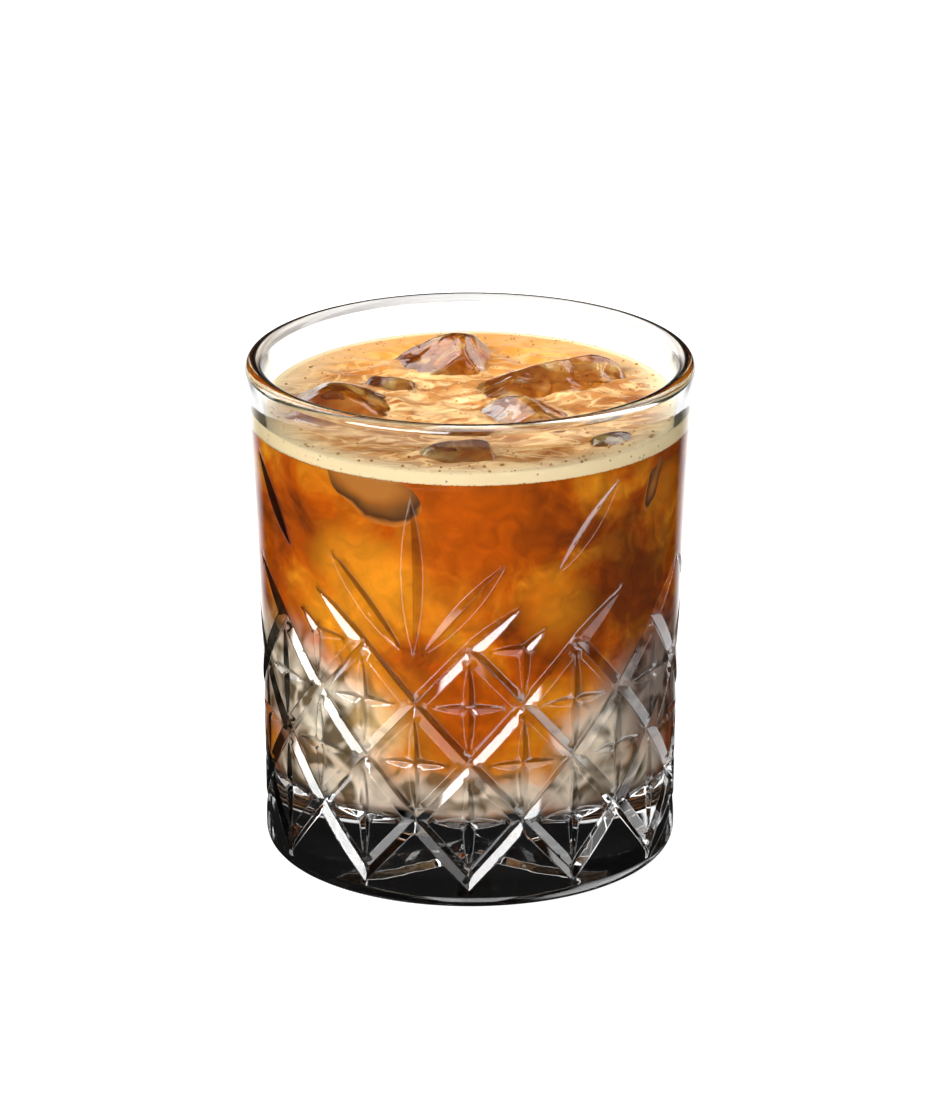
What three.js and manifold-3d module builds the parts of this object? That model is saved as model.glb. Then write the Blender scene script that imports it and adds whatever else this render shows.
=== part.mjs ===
// An iced coffee in a heavy cut-glass tumbler: the glass, the coffee, the foam on it and the ice that shows.
// Millimetres, +Z up. The origin is the middle of the foot, and the front of the drink faces -Y.
import * as THREE from "three";
import { mergeVertices } from "three/addons/utils/BufferGeometryUtils.js";
import Module from "manifold-3d";

// Outside of the tumbler.
const HEIGHT = 97.8;
const RIM_RADIUS = 43;
const LIP_RADIUS = 1.75;
const SHOULDER_Z = 93;
const SHOULDER_RADIUS = 42.7;
const FOOT_RADIUS = 39.6;
const FOOT_ROUNDING = 3.2;
const FLARE_POWER = 1.9;
const WALL_RINGS = [0.45, 0.75];
const ROUND_SIDES = 48;

// Inside of the tumbler: a cone with a rounded corner above a thick base.
const WELL_FLOOR_Z = 16.5;
const WELL_CORNER = 4.5;
const WELL_LOW_RADIUS = 35.1;
const WELL_TOP_RADIUS = 39.4;

// Cut pattern: crossing grooves in twelve columns, on rows that are one row apart.
const PATTERN_TURN = -15.3;
const COLUMNS = 12;
const HALF_COLUMN = 180 / COLUMNS;
const FIRST_ROW_Z = 6.4;
const ROW_STEP = 11.6;
const GROOVE_DEPTH = 1.0;
const WIDTH_TO_DEPTH = 1.6;
const GROOVE_STEP = 7.5;
const TIP_Z = 62;
const CUT_MARGIN = 0.6;
const UNROLL_RADIUS = 40.5;

// Crosses in the diamonds, and the leaves of the fan above the lattice. Points of the wall are degrees from
// the fan's middle and height.
const CROSS_WIDE = 7;
const CROSS_TALL = 10.4;
const CROSS_DEPTH = 0.72;
const UPRIGHT_DEPTH = 0.7;
const CROSS_STEPS = 2;
const FAN_BASE_Z = 51.5;
const FAN_TOP_Z = 83;
const SIDE_LEAF = { from: [2.3, 51.5], to: [25, 70.5] };
const FREE_LEAF = { from: [38.5, 67], to: [57, 84] };
const SPUR_TIP = [36.2, 56.8];
const LEAF_DEPTH = 0.78;
const MIDDLE_LEAF_DEPTH = 0.95;
const LEAF_WIDTH_TO_DEPTH = 2.2;
const LEAF_STEPS = 4;

// Contents.
const GAP = 0.3;
const COFFEE_TOP_Z = 85.7;
const FOAM_LEVEL_Z = 88.8;
const FOAM_TILT = 1.3;
const FOAM_RIPPLE = 0.25;
const FOAM_EDGE_LIFT = 0.4;
const FOAM_RINGS = 4;
const ICE_BOXINESS = 0.7;
const ICE_SIDES = 12;
const ICE_BANDS = 8;

// Each piece of ice that shows: its middle, its half sizes, and its turn and lean in degrees. Its flat faces
// are given by their direction round and up, in degrees, and by how far out they lie, as a share of the half
// sizes.
const ICE = [
  {
    name: "ice_1",
    at: [-24.2, -3.4, 86],
    half: [12.6, 7.8, 7.2],
    turn: -8,
    lean: 3,
    faces: [[0, 70, 0.78], [180, 55, 0.84], [-80, 50, 0.88]],
  },
  {
    name: "ice_2",
    at: [-4.9, 20.4, 87.2],
    half: [12, 7, 8.4],
    turn: 8,
    lean: -3,
    faces: [[205, 62, 0.6], [-20, 35, 0.74]],
  },
  {
    name: "ice_3",
    at: [13.4, 9, 86.6],
    half: [17.4, 6.8, 7.8],
    turn: 16,
    lean: -4,
    faces: [[100, 60, 0.82], [-75, 48, 0.76], [172, 70, 0.8]],
  },
  {
    name: "ice_4",
    at: [11, -9.4, 85.8],
    half: [10.6, 5.4, 6.8],
    turn: -6,
    lean: 3,
    faces: [[225, 50, 0.74], [10, 68, 0.8]],
  },
  {
    name: "ice_5",
    at: [-1.4, -28.3, 84.6],
    half: [8.6, 5.8, 6.6],
    turn: 4,
    lean: -4,
    faces: [[0, 18, 0.84], [-95, 58, 0.82]],
  },
  {
    name: "ice_6",
    at: [26.4, -20.4, 84.6],
    half: [6, 3.8, 5.8],
    turn: 32,
    lean: 0,
    faces: [[-60, 58, 0.8]],
  },
  {
    name: "ice_7",
    at: [-15.2, 8.9, 86],
    half: [5.6, 3.9, 5.8],
    turn: -10,
    lean: 0,
    faces: [[80, 52, 0.82], [-100, 60, 0.86]],
  },
];

const LOOKS = {
  glass: { color: 0xe9eeec, roughness: 0.03, transparent: true, opacity: 0.35 },
  coffee: { color: 0xb8691c, roughness: 0.25 },
  foam: { color: 0xe9c58d, roughness: 0.6 },
  ice: { color: 0xd8c4a6, roughness: 0.1 },
};

const wasm = await Module();
wasm.setup();
const { degToRad } = THREE.MathUtils;

// A closed geometry as a solid that can be cut.
function solidOf(geometry) {
  const bare = geometry.clone();
  bare.deleteAttribute("normal");
  bare.deleteAttribute("uv");
  const merged = mergeVertices(bare, 1e-4);
  const vertProperties = new Float32Array(merged.attributes.position.array);
  const triVerts = new Uint32Array(merged.index.array);
  return new wasm.Manifold(new wasm.Mesh({ numProp: 3, vertProperties, triVerts }));
}

// A solid as a named mesh with a material of its own.
function meshOf(name, solid, look) {
  const { vertProperties, triVerts } = solid.getMesh();
  const geometry = new THREE.BufferGeometry();
  geometry.setAttribute("position", new THREE.BufferAttribute(vertProperties, 3));
  geometry.setIndex(new THREE.BufferAttribute(triVerts, 1));
  geometry.computeVertexNormals();
  const mesh = new THREE.Mesh(geometry, new THREE.MeshStandardMaterial({ metalness: 0, ...look }));
  mesh.name = name;
  return mesh;
}

// Moves every vertex of a geometry by a function of its place.
function reshape(geometry, move) {
  const places = geometry.attributes.position;
  const place = new THREE.Vector3();
  for (let i = 0; i < places.count; i++) {
    place.fromBufferAttribute(places, i);
    move(place);
    places.setXYZ(i, place.x, place.y, place.z);
  }
  return geometry;
}

// A body of revolution about Z from a profile of radius and height.
function turned(profile) {
  return new THREE.LatheGeometry(profile, ROUND_SIDES).rotateX(Math.PI / 2).rotateZ(degToRad(PATTERN_TURN));
}

// Points of an arc in the profile plane, both ends included.
function arc(radius, height, size, fromDegrees, toDegrees, pieces) {
  const points = [];
  for (let i = 0; i <= pieces; i++) {
    const angle = degToRad(fromDegrees + ((toDegrees - fromDegrees) * i) / pieces);
    points.push(new THREE.Vector2(radius + size * Math.cos(angle), height + size * Math.sin(angle)));
  }
  return points;
}

function outerRadius(z) {
  const rise = Math.max(0, (z - FOOT_ROUNDING) / (SHOULDER_Z - FOOT_ROUNDING));
  return FOOT_RADIUS + (SHOULDER_RADIUS - FOOT_RADIUS) * rise ** FLARE_POWER;
}

function innerRadius(z) {
  const low = WELL_FLOOR_Z + WELL_CORNER;
  return WELL_LOW_RADIUS + ((WELL_TOP_RADIUS - WELL_LOW_RADIUS) * (z - low)) / (SHOULDER_Z - low);
}

// The well's profile from its wall down to the axis, kept clear of the glass by a gap.
function wellProfile(gap) {
  const corner = WELL_CORNER - gap;
  const points = arc(WELL_LOW_RADIUS - WELL_CORNER, WELL_FLOOR_Z + WELL_CORNER, corner, 0, -90, 4);
  points.push(new THREE.Vector2(0, WELL_FLOOR_Z + gap));
  return points;
}

function tumblerBody() {
  const wall = WALL_RINGS.map((part) => {
    const z = FOOT_ROUNDING + (SHOULDER_Z - FOOT_ROUNDING) * part;
    return new THREE.Vector2(outerRadius(z), z);
  });
  const profile = [
    new THREE.Vector2(0, 0),
    ...arc(FOOT_RADIUS - FOOT_ROUNDING, FOOT_ROUNDING, FOOT_ROUNDING, -90, 0, 3),
    ...wall,
    new THREE.Vector2(SHOULDER_RADIUS, SHOULDER_Z),
    ...arc(RIM_RADIUS - LIP_RADIUS, HEIGHT - LIP_RADIUS, LIP_RADIUS, 0, 180, 6),
    new THREE.Vector2(WELL_TOP_RADIUS, SHOULDER_Z),
    ...wellProfile(0),
  ];
  return solidOf(turned(profile));
}

// A long wedge laid on the outside wall. The route gives its middle line as degrees and height, the depth is
// a function of the way along it, the lean is the direction of its width in the unrolled wall, and the spread
// is its half width to its depth.
function wedge(route, depthAt, lean, steps, spread = WIDTH_TO_DEPTH) {
  const section = new THREE.Shape([
    new THREE.Vector2(0, 0),
    new THREE.Vector2(1, 1),
    new THREE.Vector2(-1, 1),
  ]);
  const bar = new THREE.ExtrudeGeometry(section, { depth: 1, steps, bevelEnabled: false });
  reshape(bar, (place) => {
    const along = place.z;
    const depth = depthAt(along);
    const middle = route(along);
    const across = place.x * (depth + CUT_MARGIN) * spread;
    const angle = degToRad(PATTERN_TURN + middle.degrees) + (across * lean.around) / UNROLL_RADIUS;
    const z = middle.z + across * lean.up;
    const radius = outerRadius(middle.z) + (place.y > 0.5 ? CUT_MARGIN : -depth);
    place.set(radius * Math.sin(angle), -radius * Math.cos(angle), z);
  });
  return solidOf(bar);
}

// A straight cut from one point of the wall to another, each as degrees and height.
function straightCut(from, to, depthAt, steps, spread) {
  const around = degToRad(to[0] - from[0]) * UNROLL_RADIUS;
  const up = to[1] - from[1];
  const length = Math.hypot(around, up);
  const route = (part) => ({
    degrees: from[0] + (to[0] - from[0]) * part,
    z: from[1] + up * part,
  });
  return wedge(route, depthAt, { around: -up / length, up: around / length }, steps, spread);
}

// Depth along a cut that runs out at both ends, and along one that starts at its full depth.
const lens = (depth) => (part) => depth * (1 - (2 * part - 1) ** 2);
const halfLens = (depth) => (part) => depth * (1 - part ** 2);

const rowZ = (row) => FIRST_ROW_Z + ROW_STEP * row;
const degreesOf = (length) => THREE.MathUtils.radToDeg(length / UNROLL_RADIUS);

// A groove that climbs four rows from the bottom edge, one way or the other. Beyond the top row it either
// stops or runs on and tapers to a point.
function groove(startDegrees, way, runsOn) {
  const rows = 4;
  const last = runsOn ? rows + 1 : rows;
  const width = HALF_COLUMN * last;
  const slant = Math.atan2(ROW_STEP, degToRad(HALF_COLUMN) * UNROLL_RADIUS);
  const route = (part) => {
    const row = part * last;
    const past = Math.max(0, row - rows);
    const z = rowZ(Math.min(row, rows)) + past * (TIP_Z - rowZ(rows));
    return { degrees: startDegrees + way * width * part, z };
  };
  const depthAt = (part) => GROOVE_DEPTH * (1 - Math.max(0, part * last - rows) ** 2);
  return wedge(route, depthAt, { around: 0, up: way / Math.cos(slant) }, width / GROOVE_STEP);
}

function lattice() {
  const cuts = [];
  for (let column = 0; column < COLUMNS; column++) {
    const start = HALF_COLUMN * (2 * column + 1);
    const crossing = (start + 3 * HALF_COLUMN) % 180;
    const rightSide = crossing < 90;
    cuts.push(groove(start, 1, rightSide));
    cuts.push(groove(-start, -1, rightSide));
  }
  return cuts;
}

// A cross of two lens cuts in the middle of a diamond.
function cross(degrees, z) {
  const wide = degreesOf(CROSS_WIDE);
  return [
    straightCut([degrees - wide, z], [degrees + wide, z], lens(CROSS_DEPTH), CROSS_STEPS),
    straightCut([degrees, z - CROSS_TALL], [degrees, z + CROSS_TALL], lens(UPRIGHT_DEPTH), CROSS_STEPS),
  ];
}

function crosses() {
  const cuts = [];
  for (let column = 0; column < COLUMNS; column++) {
    const even = 2 * HALF_COLUMN * column;
    cuts.push(...cross(even, rowZ(2)));
    cuts.push(...cross(even + HALF_COLUMN, rowZ(1)));
    cuts.push(...cross(even + HALF_COLUMN, rowZ(3)));
  }
  return cuts;
}

// The fan and the cuts round it, on the front and again on the back of the tumbler.
function fan(turn) {
  const leaf = (from, to, depth) => straightCut(from, to, lens(depth), LEAF_STEPS, LEAF_WIDTH_TO_DEPTH);
  const cuts = [leaf([turn, FAN_BASE_Z], [turn, FAN_TOP_Z], MIDDLE_LEAF_DEPTH)];
  const top = rowZ(4);
  const arm = degreesOf(CROSS_WIDE);
  const half = 2 * HALF_COLUMN;
  for (const side of [-1, 1]) {
    const at = (degrees, z) => [turn + side * degrees, z];
    const spoke = (end, depth) => cuts.push(straightCut(at(half, top), at(...end), halfLens(depth), 1));
    for (const { from, to } of [SIDE_LEAF, FREE_LEAF]) cuts.push(leaf(at(...from), at(...to), LEAF_DEPTH));
    spoke([half - arm, top], CROSS_DEPTH);
    spoke([half, top - CROSS_TALL], UPRIGHT_DEPTH);
    spoke(SPUR_TIP, CROSS_DEPTH);
  }
  return cuts;
}

function tumbler() {
  const cuts = [...lattice(), ...crosses(), ...fan(0), ...fan(180)];
  return cuts.reduce((body, cut) => body.subtract(cut), tumblerBody());
}

// A melted block of ice, fuller than an ellipsoid, with flat faces. The extra thickness makes the pocket that
// it sits in.
function iceBlock({ at, half, turn, lean, faces }, extra) {
  const sphere = new THREE.SphereGeometry(1, ICE_SIDES, ICE_BANDS).rotateX(Math.PI / 2);
  const fuller = (value) => Math.sign(value) * Math.abs(value) ** ICE_BOXINESS;
  const reach = new THREE.Vector3(...half);
  reshape(sphere, (place) => {
    place.set(fuller(place.x), fuller(place.y), fuller(place.z));
    place.multiply(reach.clone().addScalar(extra));
  });
  let block = solidOf(sphere);
  for (const [round, up, share] of faces) {
    const way = new THREE.Vector3().setFromSphericalCoords(1, degToRad(90 - up), degToRad(90 + round));
    way.applyAxisAngle(new THREE.Vector3(1, 0, 0), Math.PI / 2);
    const distance = share * way.clone().multiply(reach).length() + extra;
    block = block.trimByPlane(way.clone().negate().toArray(), -distance);
  }
  return block.rotate([0, lean, turn]).translate(at);
}

const pockets = ICE.map((piece) => iceBlock(piece, GAP));
const cutRoundIce = (solid) => pockets.reduce((left, pocket) => left.subtract(pocket), solid);

function coffee() {
  const top = new THREE.Vector2(innerRadius(COFFEE_TOP_Z) - GAP, COFFEE_TOP_Z);
  const profile = [...wellProfile(GAP).reverse(), top, new THREE.Vector2(0, COFFEE_TOP_Z)];
  return cutRoundIce(solidOf(turned(profile)));
}

// Height of the foam: higher at the back, rippled, and drawn up a little at the wall.
function foamTop(x, y) {
  const reach = Math.hypot(x, y) / WELL_TOP_RADIUS;
  const tilt = (FOAM_TILT * y) / WELL_TOP_RADIUS;
  const ripple = FOAM_RIPPLE * Math.sin(0.33 * x + 0.8) * Math.cos(0.29 * y - 0.5);
  return FOAM_LEVEL_Z + tilt + ripple * (1 - reach ** 2) + FOAM_EDGE_LIFT * reach ** 8;
}

function foam() {
  const base = COFFEE_TOP_Z + GAP;
  const profile = [new THREE.Vector2(0, base), new THREE.Vector2(innerRadius(base) - GAP, base)];
  for (let ring = FOAM_RINGS; ring >= 0; ring--) {
    const radius = ((innerRadius(FOAM_LEVEL_Z) - GAP) * ring) / FOAM_RINGS;
    profile.push(new THREE.Vector2(radius, FOAM_LEVEL_Z));
  }
  const layer = reshape(turned(profile), (place) => {
    if (place.z > base + GAP) place.z = foamTop(place.x, place.y);
  });
  return cutRoundIce(solidOf(layer));
}

const drink = new THREE.Group();
drink.add(meshOf("glass", tumbler(), LOOKS.glass));
drink.add(meshOf("coffee", coffee(), LOOKS.coffee));
drink.add(meshOf("foam", foam(), LOOKS.foam));
for (const piece of ICE) drink.add(meshOf(piece.name, iceBlock(piece, 0), LOOKS.ice));

export default drink;
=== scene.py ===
"""An iced coffee in a heavy cut-glass tumbler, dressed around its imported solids.

The script is laid out as an add-on. Each operator makes one kind of piece, in millimetres, and places it in
metres.
"""
import math
from functools import partial
from types import SimpleNamespace

import bpy
import numpy as np
from mathutils import Euler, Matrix, Vector, geometry, noise


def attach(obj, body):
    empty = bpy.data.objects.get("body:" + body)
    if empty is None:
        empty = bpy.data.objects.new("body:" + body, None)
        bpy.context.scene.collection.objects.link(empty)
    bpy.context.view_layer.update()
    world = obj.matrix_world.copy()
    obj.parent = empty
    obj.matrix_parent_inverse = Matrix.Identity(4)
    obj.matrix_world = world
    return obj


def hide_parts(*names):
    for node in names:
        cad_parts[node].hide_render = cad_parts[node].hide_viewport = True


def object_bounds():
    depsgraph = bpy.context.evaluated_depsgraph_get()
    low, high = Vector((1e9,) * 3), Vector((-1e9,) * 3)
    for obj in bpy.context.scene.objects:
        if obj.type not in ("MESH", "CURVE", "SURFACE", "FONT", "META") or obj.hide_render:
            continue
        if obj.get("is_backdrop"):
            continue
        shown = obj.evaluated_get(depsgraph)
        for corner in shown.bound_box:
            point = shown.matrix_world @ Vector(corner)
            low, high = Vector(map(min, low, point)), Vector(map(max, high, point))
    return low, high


bl_info = {
    "name": "Iced Coffee Tumbler",
    "version": (1, 0, 0),
    "blender": (4, 5, 0),
    "location": "3D View > Sidebar > Drink",
    "description": "Builds a cut-glass tumbler of iced coffee with foam and ice",
    "category": "Object",
}

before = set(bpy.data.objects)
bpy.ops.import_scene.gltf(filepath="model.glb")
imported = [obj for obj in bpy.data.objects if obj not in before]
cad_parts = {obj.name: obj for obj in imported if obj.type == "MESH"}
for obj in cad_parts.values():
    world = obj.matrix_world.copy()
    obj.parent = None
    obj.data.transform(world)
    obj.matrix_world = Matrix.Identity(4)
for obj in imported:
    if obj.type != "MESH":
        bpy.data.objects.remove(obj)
CAD_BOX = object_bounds()
MM = 0.001
TINY = 1e-6


def srgb(code):
    """An sRGB hex colour as the linear colour that shaders take."""
    parts = [int(code[i:i + 2], 16) / 255 for i in (0, 2, 4)]
    return tuple(p / 12.92 if p <= 0.04045 else ((p + 0.055) / 1.055) ** 2.4 for p in parts)


def length(name, description, default_mm):
    """A property that holds a length, given in millimetres."""
    return bpy.props.FloatProperty(
        name=name, description=description, default=default_mm * MM, unit="LENGTH", precision=5)


def tint(name, description, code):
    """A property that holds a colour, given as an sRGB hex value."""
    return bpy.props.FloatVectorProperty(
        name=name, description=description, default=srgb(code), subtype="COLOR", size=3, min=0, max=1)


class TumblerSizes(bpy.types.PropertyGroup):
    height: length("Height", "From the foot to the top of the lip", 97.8)
    rim_radius: length("Rim radius", "Outside of the lip", 43)
    lip_radius: length("Lip radius", "Rounding of the lip", 1.75)
    shoulder_z: length("Shoulder height", "Where the wall ends and the lip begins", 93)
    shoulder_radius: length("Shoulder radius", "Outside of the wall below the lip", 42.7)
    foot_radius: length("Foot radius", "Outside of the wall at the foot", 39.6)
    foot_rounding: length("Foot rounding", "Rounding of the foot's edge", 3.2)
    floor_z: length("Well floor", "Height of the well's floor", 16.5)
    well_corner: length("Well corner", "Rounding at the bottom of the well", 4.5)
    well_low_radius: length("Low well radius", "Inside of the wall above the corner", 35.1)
    well_top_radius: length("Top well radius", "Inside of the wall below the lip", 39.4)


class CutSizes(bpy.types.PropertyGroup):
    first_row: length("First row", "Height of the lowest points of the lattice", 6.4)
    row_step: length("Row step", "Height from one row of crossings to the next", 11.6)
    groove_depth: length("Groove depth", "Depth of the lattice grooves", 1.0)
    tip_z: length("Tip height", "Height of the points that the top grooves run out to", 62)
    cross_wide: length("Cross arm", "Half length of the level cut of a cross", 7)
    cross_tall: length("Cross upright", "Half length of the upright cut of a cross", 10.4)
    cross_depth: length("Cross depth", "Depth of the level cut of a cross", 0.72)
    upright_depth: length("Upright depth", "Depth of the upright cut of a cross", 0.7)
    leaf_depth: length("Leaf depth", "Depth of the leaves", 0.78)
    middle_leaf_depth: length("Middle leaf depth", "Depth of the fan's middle leaf", 0.95)
    edge_softness: length("Edge softness", "How far the fire polish rounds each edge, in depth", 0.1)


class DrinkSizes(bpy.types.PropertyGroup):
    coffee_top: length("Coffee level", "Height of the line between coffee and foam", 85.7)
    foam_level: length("Foam level", "Mean height of the foam", 88.8)
    wall_overlap: length("Wall overlap", "How far the drink reaches into the glass, so no air shows", 0.15)
    bubble_size: length("Bubble size", "Radius of the larger bubbles", 0.34)


class DrinkColours(bpy.types.PropertyGroup):
    coffee: tint("Coffee", "Milky coffee", "c05600")
    dark: tint("Dark coffee", "Coffee with little milk", "743408")
    gold: tint("Golden coffee", "Coffee with more milk", "e8951c")
    cream: tint("Cream", "Milk clouds in the coffee", "f0c67c")
    pale: tint("Cloudy ice", "Sunk ice behind the wall", "fff4dc")
    smoke: tint("Clear ice", "Dark places in the sunk ice", "7a6a50")
    plum: tint("Stained ice", "Sunk ice with coffee before it", "a8988c")
    umber: tint("Stained clear ice", "Dark places in the stained ice", "54443a")
    # Painted light: the coffee in the ice pockets is painted lighter, for light that comes in through the
    # ice.
    pocket: tint("Lit coffee", "Coffee that the melting ice has thinned", "eeac5a")
    foam: tint("Foam", "Tan foam", "b67e44")
    foam_light: tint("Light foam", "Airy folds on the foam", "eec890")
    foam_wall: tint("Wall foam", "Dense foam along the wall", "ffeaba")
    foam_gold: tint("Golden foam", "Wet foam at the back", "dc9230")
    foam_dark: tint("Foam streaks", "Coffee streaks on the foam", "985622")


def in_mm(group):
    """A property group's lengths in millimetres."""
    names = type(group).__annotations__
    return SimpleNamespace(**{name: getattr(group, name) / MM for name in names})


def all_sizes(scene):
    """The sizes of the tumbler, of its cuts and of the drink, in millimetres."""
    return [in_mm(group) for group in (scene.tumbler_sizes, scene.cut_sizes, scene.drink_sizes)]


# Part 1: the cut wall, worked out in the unrolled plane of a quarter of the tumbler. There u runs round the
# wall from the fan's middle and v is the height.
PATTERN_TURN = math.radians(-15.3)
COLUMNS = 12
HALF_COLUMN = 180 / COLUMNS
LATTICE_ROWS = 4
WIDTH_TO_DEPTH = 1.6
LEAF_WIDTH_TO_DEPTH = 2.2
FLARE_POWER = 1.9
UNROLL_RADIUS = 40.5
QUARTER = math.radians(90) * UNROLL_RADIUS
SHEET_LOW = 3.2
SHEET_HIGH = 87.0
ROUND_SIDES = 240

# The shape of the cuts: how steeply a groove's end rises, a depth that is clear of the wall, and the
# ends of the leaves, each with its degrees from the fan's middle and its height.
END_STEEPNESS = 4
CLEAR_OF_WALL = -1.0
BLUNT_ARM = 0.15
BLUNT_UPRIGHT = 0.12
MIDDLE_LEAF = ((0, 51.5), (0, 83.0))
SIDE_LEAF = ((2.3, 51.5), (25, 70.5))
FREE_LEAF = ((38.5, 67), (57, 84))
SPUR_TIP = (36.2, 56.8)

# The mesh of the cut wall: the grid that finds the creases, the spacing of points, the distance within
# which two points are one, and the reach of the rounded edges.
CREASE_GRID = (211, 278)
HALVINGS = 18
CREASE_SPACING = 0.9
CREASE_MERGE = 0.12
CREASE_NEAR = 0.05
BEVEL_REACH = 0.16
BEVEL_MERGE = 0.8 * BEVEL_REACH
SEAM_SPACING = 1.06
SEAM_MERGE = 0.3
SEAM_SNAP = 0.12
SEAM_MARGIN = 1e-3
WALL_SPACING = 1.25
WALL_ROW_STEP = 0.866 * WALL_SPACING
WALL_MERGE = 0.5
WALL_TOP_MARGIN = 0.5
WALL_SIDE_MARGIN = 0.4
WALL_INSIDE = 37.5
PLANE_MERGE = 1e-5
WELDS_PER_MM = 2000

# How many pieces each run of a profile has.
PIECES = SimpleNamespace(
    shoulder=4, lip=24, lip_inside=3, well=24, corner=14, floor=12, foot=10,
    coffee=40, level=24, foam_base=3)


def unrolled(degrees):
    """Way round the wall, in millimetres, of an angle from the fan's middle."""
    return math.radians(degrees) * UNROLL_RADIUS


def outer_radius(size, z):
    """Outside radius of the uncut wall at a height."""
    rise = np.clip((z - size.foot_rounding) / (size.shoulder_z - size.foot_rounding), 0, None)
    return size.foot_radius + (size.shoulder_radius - size.foot_radius) * rise ** FLARE_POWER


def inner_radius(size, z):
    """Inside radius of the wall above the well's corner."""
    low = size.floor_z + size.well_corner
    lean = (size.well_top_radius - size.well_low_radius) / (size.shoulder_z - low)
    return size.well_low_radius + lean * (z - low)


def soft_abs(value, reach):
    """Absolute value with a rounded foot."""
    size = np.abs(value)
    return np.where(size < reach, size * size / (2 * reach) + reach / 2, size)


class Groove:
    """A lattice groove that climbs from the bottom row, to the top row or on to a tapering point."""

    def __init__(self, cut, start_degrees, way, runs_on):
        self.start = unrolled(start_degrees)
        self.way = way
        self.step = unrolled(HALF_COLUMN)
        self.last = LATTICE_ROWS + (1 if runs_on else 0)
        self.cut = cut
        self.upright = math.cos(math.atan2(cut.row_step, self.step)) / WIDTH_TO_DEPTH

    def across(self, u, v):
        """Depth that the groove's middle has at a point, and the offset from it as a depth."""
        row = self.way * (u - self.start) / self.step
        past = np.clip(row - LATTICE_ROWS, 0, None)
        top = self.cut.first_row + self.cut.row_step * LATTICE_ROWS
        middle = self.cut.first_row + self.cut.row_step * np.minimum(row, LATTICE_ROWS)
        middle = middle + past * (self.cut.tip_z - top)
        depth = self.cut.groove_depth * (1 - past ** 2)
        beyond = np.maximum(np.maximum(-row, row - self.last), 0) * self.step
        return np.maximum(depth - END_STEEPNESS * beyond, CLEAR_OF_WALL), (v - middle) * self.upright


class Lens:
    """A straight cut that is deepest in its middle and runs out at its ends.

    With a blunt end it starts at its full depth instead. The spread is its half width to its depth."""

    def __init__(self, start, end, depth, blunt=None, spread=WIDTH_TO_DEPTH):
        self.start = np.array((unrolled(start[0]), start[1]))
        way = np.array((unrolled(end[0]), end[1])) - self.start
        self.length = np.hypot(*way)
        self.way = way / self.length
        self.depth = depth
        self.blunt = blunt
        self.spread = spread

    def across(self, u, v):
        """Depth that the cut's middle has at a point, and the offset from it as a depth."""
        du = u - self.start[0]
        dv = v - self.start[1]
        along = (du * self.way[0] + dv * self.way[1]) / self.length
        aside = dv * self.way[0] - du * self.way[1]
        if self.blunt is None:
            run = 2 * along - 1
        else:
            run = np.where(along < 0, along / self.blunt, along)
        return np.maximum(self.depth * (1 - run ** 2), CLEAR_OF_WALL), aside / self.spread


def wall_cuts(cut):
    """Every cut that reaches into the quarter from the fan's middle round to its side."""
    cuts = []
    for column in range(-COLUMNS, COLUMNS):
        start = HALF_COLUMN * (2 * column + 1)
        runs_on = (start + 3 * HALF_COLUMN) % 180 < 90
        for way in (1, -1):
            ends = sorted((way * start, way * (start + HALF_COLUMN * (LATTICE_ROWS + 1))))
            if ends[1] > 0 and ends[0] < 90:
                cuts.append(Groove(cut, way * start, way, runs_on))
    arm = math.degrees(cut.cross_wide / UNROLL_RADIUS)
    for half in range(COLUMNS // 2 + 1):
        degrees = HALF_COLUMN * half
        for row in ((2,) if half % 2 == 0 else (1, 3)):
            z = cut.first_row + cut.row_step * row
            cuts.append(Lens((degrees - arm, z), (degrees + arm, z), cut.cross_depth))
            upright = ((degrees, z - cut.cross_tall), (degrees, z + cut.cross_tall))
            cuts.append(Lens(*upright, cut.upright_depth))
    cuts.append(Lens(*MIDDLE_LEAF, cut.middle_leaf_depth, spread=LEAF_WIDTH_TO_DEPTH))
    for ends in (SIDE_LEAF, FREE_LEAF):
        cuts.append(Lens(*ends, cut.leaf_depth, spread=LEAF_WIDTH_TO_DEPTH))
    top = cut.first_row + cut.row_step * LATTICE_ROWS
    side = 2 * HALF_COLUMN
    cuts.append(Lens((side, top), (side - arm, top), cut.cross_depth, blunt=BLUNT_ARM))
    cuts.append(Lens((side, top), (side, top - cut.cross_tall), cut.upright_depth, blunt=BLUNT_UPRIGHT))
    cuts.append(Lens((side, top), SPUR_TIP, cut.cross_depth, blunt=BLUNT_ARM))
    return cuts


def facets(cuts, u, v, margin=SEAM_MARGIN):
    """Which flank of which cut a point lies on, or -1 on the uncut wall. It is kept in the quarter."""
    u = np.clip(u, margin, QUARTER - margin)
    best = np.zeros_like(u)
    facet = np.full(u.shape, -1)
    for i, cut in enumerate(cuts):
        depth, offset = cut.across(u, v)
        here = depth - np.abs(offset)
        wins = here > best
        best = np.where(wins, here, best)
        facet = np.where(wins, 2 * i + (offset > 0), facet)
    return facet


def cut_depth(cuts, soft, u, v):
    """Depth of the cut surface below the uncut wall, with every edge rounded."""
    u = np.abs(u)
    u = QUARTER - np.abs(QUARTER - u)
    total = np.zeros_like(u)
    for cut in cuts:
        depth, offset = cut.across(u, v)
        here = depth - soft_abs(offset, soft)
        blend = np.clip(soft - np.abs(here - total), 0, None) / soft
        total = np.maximum(here, total) + blend * blend * soft / 4
    return total


def crossings(cuts, low, high):
    """Points between pairs of points where the facet changes, found by halving."""
    low = low.copy()
    high = high.copy()
    start = facets(cuts, *low.T)
    for _ in range(HALVINGS):
        middle = (low + high) / 2
        same = facets(cuts, *middle.T) == start
        low[same] = middle[same]
        high[~same] = middle[~same]
    return (low + high) / 2


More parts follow.
